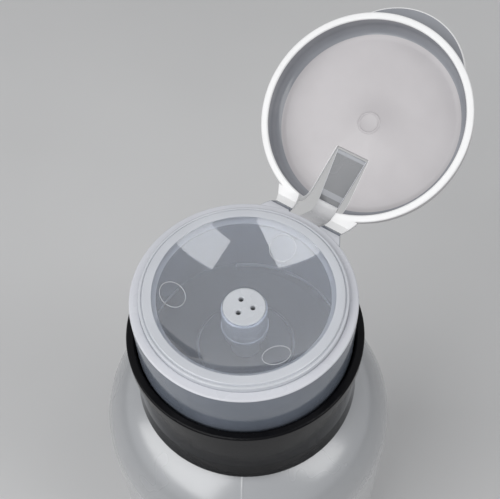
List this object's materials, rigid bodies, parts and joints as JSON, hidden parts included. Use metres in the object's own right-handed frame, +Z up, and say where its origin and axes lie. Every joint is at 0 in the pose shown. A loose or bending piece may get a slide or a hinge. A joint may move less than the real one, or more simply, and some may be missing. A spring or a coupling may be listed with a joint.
{
  "type": "nail polish remover pump",
  "caption": "Push-down pump bottle: frosted round bottle, black screw collar, shallow clear dish in a white cup, and a hinged snap lid.",
  "frame": {"origin": "centre of the bottle's flat base, on the surface it stands on", "axes": "+Z up along the bottle's axis, +Y towards the lid's hinge, +X across it"},
  "size_m": [0.0636, 0.0989, 0.1454],
  "materials": {
    "bottle": "frosted translucent white polypropylene, satin",
    "collar": "deep black, high gloss",
    "cup": "translucent natural polypropylene, satin",
    "lid": "translucent natural polypropylene, satin",
    "dish": "clear, high gloss",
    "nozzle": "translucent white",
    "pump_plastic": "natural white moulding",
    "retainer_plastic": "black moulding, satin",
    "tube_plastic": "translucent extruded tube",
    "gasket_foam": "white closed-cell foam",
    "seal_rubber": "black rubber",
    "spring_steel": "stainless wire",
    "ball_steel": "polished stainless"
  },
  "bodies": {
    "bottle": {"bottle": "bottle"},
    "pump": {"neck_gasket": "gasket_foam", "pump_cylinder": "pump_plastic", "dip_tube": "tube_plastic", "spring_seat": "pump_plastic", "return_spring": "spring_steel", "cylinder_retainer": "retainer_plastic", "stem_seal": "seal_rubber"},
    "collar": {"collar": "collar"},
    "plunger": {"piston_stem": "pump_plastic", "piston": "pump_plastic"},
    "inlet_valve": {"inlet_ball": "ball_steel"},
    "outlet_valve": {"outlet_ball": "ball_steel"},
    "head": {"cup_shell": "cup", "dish": "dish", "nozzle": "nozzle", "hinge_film_left": "cup", "hinge_film_right": "cup"},
    "lid": {"lid": "lid"},
    "tongue_foot": {"tongue_foot": "cup"},
    "tongue_plate": {"tongue_plate": "cup"}
  },
  "joints": [
    {"name": "pump_lift", "type": "slide", "parent": "bottle", "child": "pump", "axis": [0, 0, 1], "range_m": [0, 0.005]},
    {"name": "collar_turn", "type": "hinge", "parent": "pump", "child": "collar", "pos_m": [0, 0, 0.1], "axis": [0, 0, 1], "range_deg": [0, 450]},
    {"name": "head_press", "type": "slide", "parent": "pump", "child": "plunger", "axis": [0, 0, -1], "range_m": [0, 0.006], "stiffness_N_per_m": 1500, "springref_m": -0.003, "deforming": ["return_spring"]},
    {"name": "head_turn", "type": "hinge", "parent": "plunger", "child": "head", "pos_m": [0, 0, 0.11], "axis": [0, 0, 1], "range_deg": [-60, 0]},
    {"name": "inlet_valve_lift", "type": "slide", "parent": "pump", "child": "inlet_valve", "axis": [0, 0, 1], "range_m": [0, 0.0015]},
    {"name": "outlet_valve_lift", "type": "slide", "parent": "plunger", "child": "outlet_valve", "axis": [0, 0, 1], "range_m": [0, 0.0012]},
    {"name": "lid_hinge", "type": "hinge", "parent": "head", "child": "lid", "pos_m": [0, 0.02286, 0.12387], "axis": [1, 0, 0], "range_deg": [0, 149]},
    {"name": "tongue_foot_fold", "type": "hinge", "parent": "head", "child": "tongue_foot", "pos_m": [0, 0.0223, 0.12227], "axis": [1, 0, 0], "range_deg": [0, 132.71]},
    {"name": "tongue_plate_fold", "type": "hinge", "parent": "lid", "child": "tongue_plate", "pos_m": [0, 0.0402, 0.12542], "axis": [1, 0, 0], "range_deg": [-6.51, 0]}
  ],
  "couplings": [
    {"joint": "pump_lift", "follows": "collar_turn", "m_per_rad": 0.00063661},
    {"joint": "tongue_foot_fold", "follows": "lid_hinge", "ratio": 0.8906},
    {"joint": "tongue_plate_fold", "follows": "lid_hinge", "ratio": -0.0436}
  ]
}
